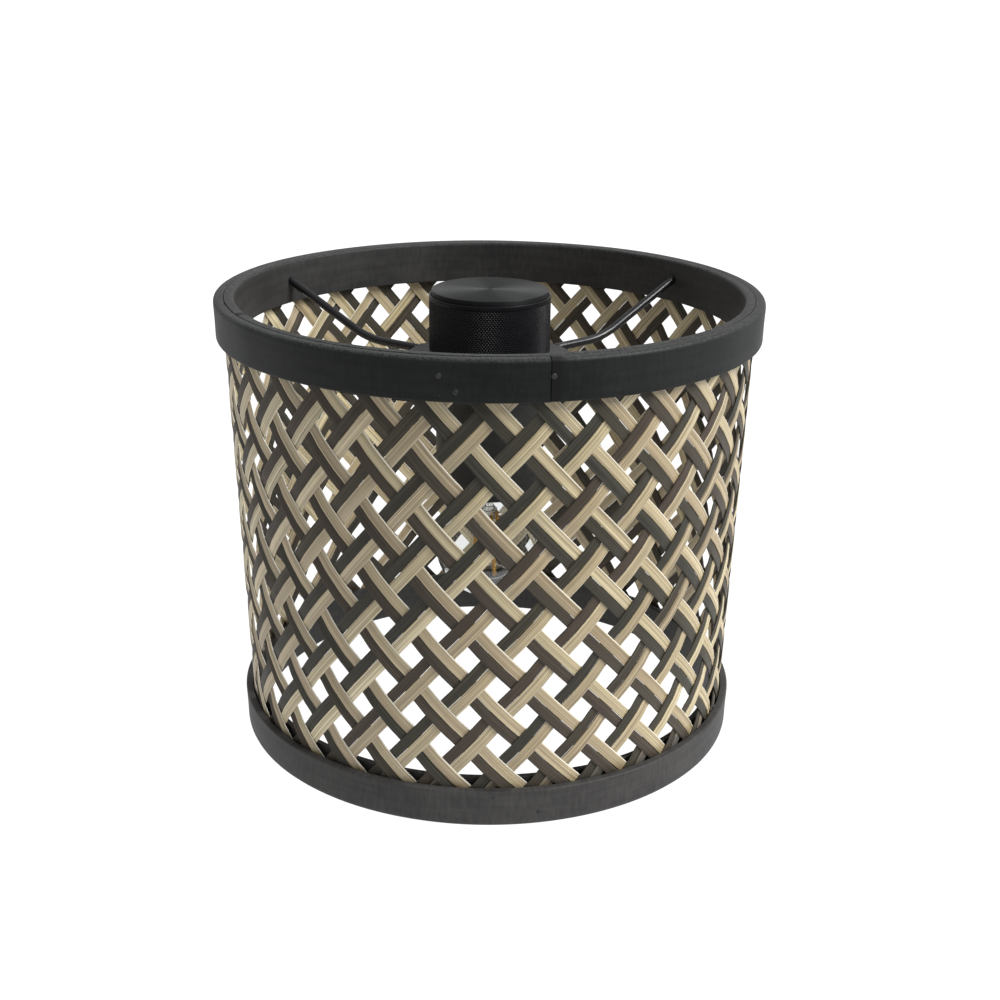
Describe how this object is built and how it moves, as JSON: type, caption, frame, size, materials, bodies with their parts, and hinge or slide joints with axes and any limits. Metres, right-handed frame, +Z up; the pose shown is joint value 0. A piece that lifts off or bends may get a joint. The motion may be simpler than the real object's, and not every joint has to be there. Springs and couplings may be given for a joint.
{
  "type": "woven bamboo lantern",
  "caption": "Round woven bamboo lantern with black hoops, a wire spider and a lift-out battery lamp with a knurled top and a clear filament bulb.",
  "frame": {"origin": "centre of the circle that the lantern stands on, at the underside of the bottom hoop", "axes": "+Z up along the axis of the drum; -Y is the front, where the top hoop has its joint; +X to the right seen from the front"},
  "size_m": [0.2, 0.2, 0.1673],
  "materials": {
    "black_bamboo": "black-stained bamboo, dull, fine lengthwise grain",
    "natural_bamboo": "natural split bamboo, matte, fine fibre lines; every second strip is stained black",
    "pin": "darkened steel",
    "black_wire": "satin black powder coat",
    "matte_black": "fine matte black",
    "knurled_black": "black anodised, diamond knurl",
    "seal_rubber": "soft black",
    "cell_wrap": "plain printed-free sleeve over a steel can",
    "steel": "plated",
    "brass": "bright",
    "nickel": "nickel plate",
    "board_green": "green solder mask",
    "ceramic": "off-white, heat resistant",
    "black_glass": "black insulator",
    "clear_glass": "clear",
    "phosphor": "orange-yellow filament coating, not lit"
  },
  "bodies": {
    "shade": {"top_outer_hoop": "black_bamboo", "top_inner_hoop": "black_bamboo", "bottom_outer_hoop": "black_bamboo", "bottom_inner_hoop": "black_bamboo", "weave_left_strips": "natural_bamboo", "weave_right_strips": "natural_bamboo", "top_brad_1": "pin", "top_brad_2": "pin", "top_brad_3": "pin", "bottom_brad_1": "pin", "bottom_brad_2": "pin", "spider_plate": "black_wire", "spider_arm_1": "black_wire", "spider_arm_2": "black_wire", "spider_arm_3": "black_wire"},
    "lamp": {"lower_housing": "matte_black", "seal_ring": "seal_rubber", "battery_holder": "matte_black", "battery_cell_1": "cell_wrap", "battery_cell_2": "cell_wrap", "battery_cell_3": "cell_wrap", "contact_spring_1": "steel", "contact_spring_2": "steel", "contact_spring_3": "steel", "contact_plate": "brass", "circuit_board": "board_green", "board_screw_1": "steel", "board_screw_2": "steel", "board_screw_3": "steel", "tact_switch": "matte_black", "socket_insulator": "ceramic", "socket_screw_shell": "brass", "socket_contact": "brass"},
    "cover": {"knurled_barrel": "knurled_black"},
    "button": {"button_cap": "matte_black", "button_clip": "steel"},
    "bulb": {"bulb_cap": "nickel", "bulb_tip": "nickel", "bulb_cap_insulator": "black_glass", "bulb_glass": "clear_glass", "bulb_stem": "clear_glass", "filament_1": "phosphor", "filament_2": "phosphor", "filament_3": "phosphor", "filament_4": "phosphor", "filament_crown": "steel", "filament_support": "steel", "lead_wire_1": "steel", "lead_wire_2": "steel"}
  },
  "joints": [
    {"name": "lamp_lift", "type": "slide", "parent": "shade", "child": "lamp", "axis": [0, 0, 1], "range_m": [0, 0.125]},
    {"name": "cover_turn", "type": "hinge", "parent": "lamp", "child": "cover", "pos_m": [0, 0, 0.15], "axis": [0, 0, 1], "range_deg": [0, 60]},
    {"name": "button_press", "type": "slide", "parent": "cover", "child": "button", "axis": [0, 0, -1], "range_m": [0, 0.0012], "stiffness_N_per_m": 1200, "springref_m": -0.0005},
    {"name": "bulb_turn", "type": "hinge", "parent": "lamp", "child": "bulb", "pos_m": [0, 0, 0.095], "axis": [0, 0, -1], "range_deg": [0, 1080]}
  ]
}
